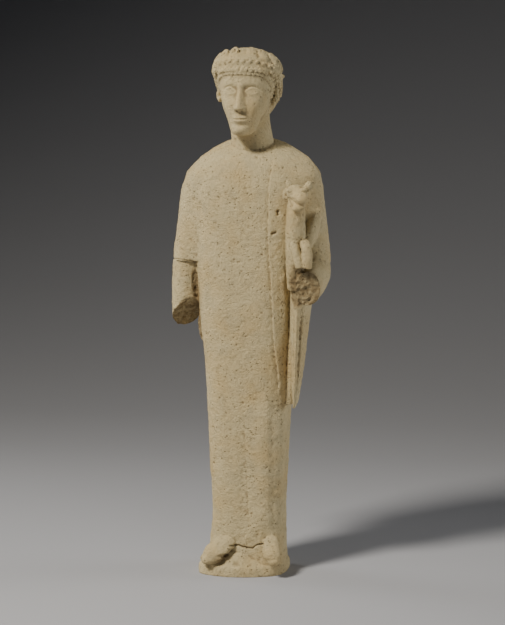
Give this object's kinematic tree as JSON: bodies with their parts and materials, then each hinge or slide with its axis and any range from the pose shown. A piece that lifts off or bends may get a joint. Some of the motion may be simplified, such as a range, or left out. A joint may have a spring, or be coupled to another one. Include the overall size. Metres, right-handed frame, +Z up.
{
  "type": "limestone votary statuette",
  "caption": "Standing robed youth with a leaf wreath holding a small kid to the chest, both forearms broken off, on a low plinth, all carved from one block.",
  "frame": {"origin": "on the underside of the plinth, below the middle of the legs", "axes": "+Z up along the figure, the figure faces -Y, the figure's own left is +X"},
  "size_m": [0.1638, 0.1033, 0.534],
  "materials": {
    "limestone": null
  },
  "bodies": {
    "root": {"votary_statuette": "limestone"}
  },
  "joints": []
}
